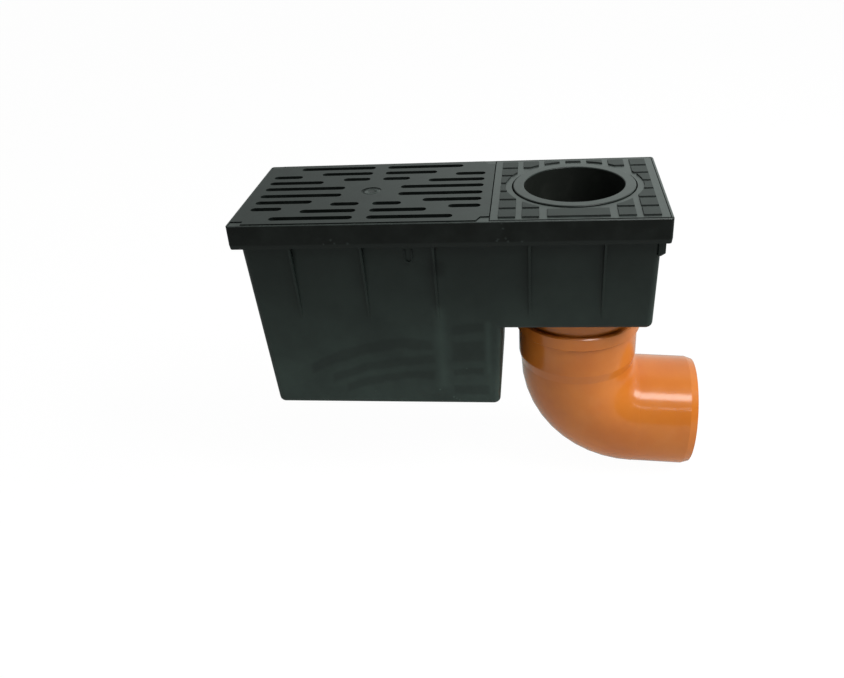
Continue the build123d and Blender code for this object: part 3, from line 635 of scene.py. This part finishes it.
def paintedFloor(look):
    material, tree, shader, surface = newMaterial("paintedFloorMatt")
    shader.inputs["Base Color"].default_value = linearColour(look["colour"])
    shader.inputs["Roughness"].default_value = look["roughness"]
    _, axes = objectPlace(tree)
    mirrored = rayShare(tree, ["Is Glossy Ray"])
    dimmed = softStep(tree, axes["Y"], *look["turn"], look["mirrorFront"], look["mirrorBack"])
    white = addNode(tree, "ShaderNodeEmission",
                    {"Color": blendColour(tree, mirrored, plainWhite, studioTint),
                     "Strength": eitherWay(tree, mirrored, dimmed, look["asSeen"])})
    plain = rayShare(tree, ["Is Camera Ray", "Is Transmission Ray", "Is Glossy Ray"])
    mixed = addNode(tree, "ShaderNodeMixShader",
                    {0: product(tree, plain, 1 - look["shadowShare"]), 1: shader.outputs["BSDF"],
                     2: white.outputs["Emission"]})
    tree.links.new(mixed.outputs["Shader"], surface)
    return material


floorShape = bmesh.new()
bmesh.ops.create_grid(floorShape, x_segments=1, y_segments=1, size=floorLook["half"])
floorHeight = min(corner[2] for corner in cadBox) - floorLook["gap"] * mm
bmesh.ops.translate(floorShape, verts=floorShape.verts, vec=(0, 0, floorHeight))
floor = addPiece("studioFloor", floorShape)
floor.data.materials.append(paintedFloor(floorLook))

# World: a plain white studio, dimmer as light than as it looks. In mirror rays its back is bright
# at the right and dim at the left, and its front is dim and darkest at the horizon, which shades
# the glossy faces
worldLook = {"asSeen": 1.0, "asLight": 0.1, "mirrorFront": 0.45, "mirrorLow": 0.06,
             "mirrorLeft": (0.22, 0.58), "mirrorRight": 1.0, "turn": (-0.34, 0.12),
             "lift": (0.3, 0.38), "rise": (0.42, 0.6), "behind": (0.0, 0.45)}


def whiteStudio(look):
    world = bpy.data.worlds.new("whiteStudio")
    world.use_nodes = True
    tree = world.node_tree
    tree.nodes.clear()
    direction = addNode(tree, "ShaderNodeTexCoord").outputs["Generated"]
    way = addNode(tree, "ShaderNodeSeparateXYZ", {0: direction}).outputs
    left = softStep(tree, way["Z"], *look["lift"], *look["mirrorLeft"])
    back = softStep(tree, way["X"], *look["turn"], left, look["mirrorRight"])
    front = softStep(tree, way["Z"], *look["rise"], look["mirrorLow"], look["mirrorFront"])
    mirror = eitherWay(tree, softStep(tree, way["Y"], *look["behind"]), back, front)
    seen = rayShare(tree, ["Is Camera Ray", "Is Transmission Ray"])
    lit = softStep(tree, seen, 0.0, 1.0, look["asLight"], look["asSeen"])
    glossy = rayShare(tree, ["Is Glossy Ray"])
    background = addNode(tree, "ShaderNodeBackground",
                         {"Color": blendColour(tree, glossy, plainWhite, studioTint),
                          "Strength": eitherWay(tree, glossy, mirror, lit)})
    output = addNode(tree, "ShaderNodeOutputWorld")
    tree.links.new(background.outputs["Background"], output.inputs["Surface"])
    return world


bpy.context.scene.world = whiteStudio(worldLook)

# Lamps: a long soft box above the camera and a thin strip below it, which show only as the bright
# streaks along the pipe, a soft fill from the front, and a broad box at the upper right that
# lights most of the object
lamps = {
    "streakBox": {"place": (0.56, -0.75, 0.96), "aim": (0.41, -0.06, -0.24), "size": (0.76, 0.32),
                  "watts": 6.6, "lights": False},
    "lowStrip": {"place": (0.28, -1.22, 0.53), "aim": (0.09, -0.06, -0.24), "size": (0.8, 0.02),
                 "watts": 0.5, "lights": False},
    "frontFill": {"place": (0.24, -0.75, 0.96), "aim": (0.09, -0.06, -0.24), "size": (1.2, 0.6),
                  "watts": 4.4, "mirrored": False},
    "rightBox": {"place": (1.0, -0.3, 1.0), "aim": (0.05, 0, -0.2), "size": (0.9, 0.9),
                 "watts": 28.0, "mirrored": False},
}
for name, look in lamps.items():
    light = bpy.data.lights.new(name, "AREA")
    light.shape = "RECTANGLE"
    light.size, light.size_y = look["size"]
    light.energy = look["watts"]
    lamp = bpy.data.objects.new(name, light)
    lamp.visible_glossy = look.get("mirrored", True)
    lamp.visible_diffuse = look.get("lights", True)
    lamp.location = look["place"]
    towards = Vector(look["aim"]) - Vector(look["place"])
    lamp.rotation_euler = towards.to_track_quat("-Z", "Y").to_euler()
    bpy.context.scene.collection.objects.link(lamp)

# Camera, as fitted to the photograph: angles in radians, place and lens in millimetres
viewLook = {"pitch": 0.523, "yaw": 0.1544, "roll": -0.0774, "place": (-33.43, -757.74, 277.39),
            "lens": 36.53, "sensor": 36, "sight": 20}
level = Vector((-math.sin(viewLook["yaw"]), math.cos(viewLook["yaw"]), 0))
sideways = Vector((math.cos(viewLook["yaw"]), math.sin(viewLook["yaw"]), 0))
upright = Vector((0, 0, 1))
cosPitch, sinPitch = math.cos(viewLook["pitch"]), math.sin(viewLook["pitch"])
forward = level * cosPitch - upright * sinPitch
down = -upright * cosPitch - level * sinPitch
cosRoll, sinRoll = math.cos(viewLook["roll"]), math.sin(viewLook["roll"])
imageRight = sideways * cosRoll - down * sinRoll
imageDown = sideways * sinRoll + down * cosRoll
turn = Matrix((imageRight, -imageDown, -forward)).transposed().to_4x4()
camera = bpy.data.objects.new("camera", bpy.data.cameras.new("camera"))
camera.data.sensor_width = viewLook["sensor"]
camera.data.lens = viewLook["lens"]
camera.data.clip_end = viewLook["sight"]
camera.matrix_world = Matrix.Translation(Vector(viewLook["place"]) * mm) @ turn
bpy.context.scene.collection.objects.link(camera)
bpy.context.scene.camera = camera
bpy.context.scene.view_settings.view_transform = "Standard"
print("gully trap: studio and camera set")
